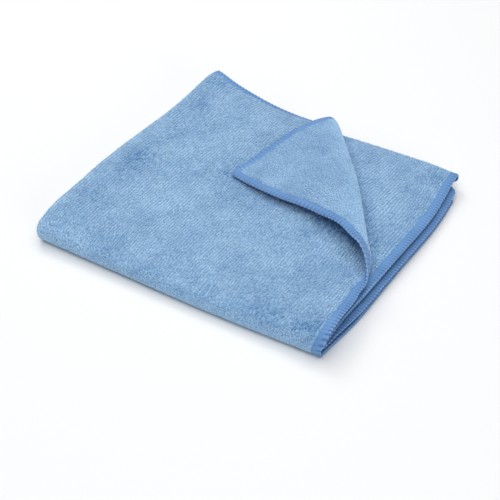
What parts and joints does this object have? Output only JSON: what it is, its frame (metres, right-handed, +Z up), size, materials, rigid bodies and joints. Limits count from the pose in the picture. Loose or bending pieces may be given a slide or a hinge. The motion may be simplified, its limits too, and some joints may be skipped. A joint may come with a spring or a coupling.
{
  "type": "folded microfibre cloth",
  "caption": "Square light blue microfibre cloth folded in four, lying flat, with the back right corner of its top layer rolled back. For wiping and drying.",
  "frame": {"origin": "on the surface the cloth lies on, below the middle of its outline", "axes": "+Z up, +Y from the front fold towards the open back edges, +X from the left fold towards the open right edges"},
  "size_m": [0.2176, 0.2038, 0.0393],
  "materials": {
    "pile": "light blue ribbed microfibre pile, matt with a soft sheen",
    "hem_thread": "mid blue overlocked hem, slightly shiny polyester thread"
  },
  "bodies": {
    "root": {"cloth": "pile"}
  },
  "joints": []
}
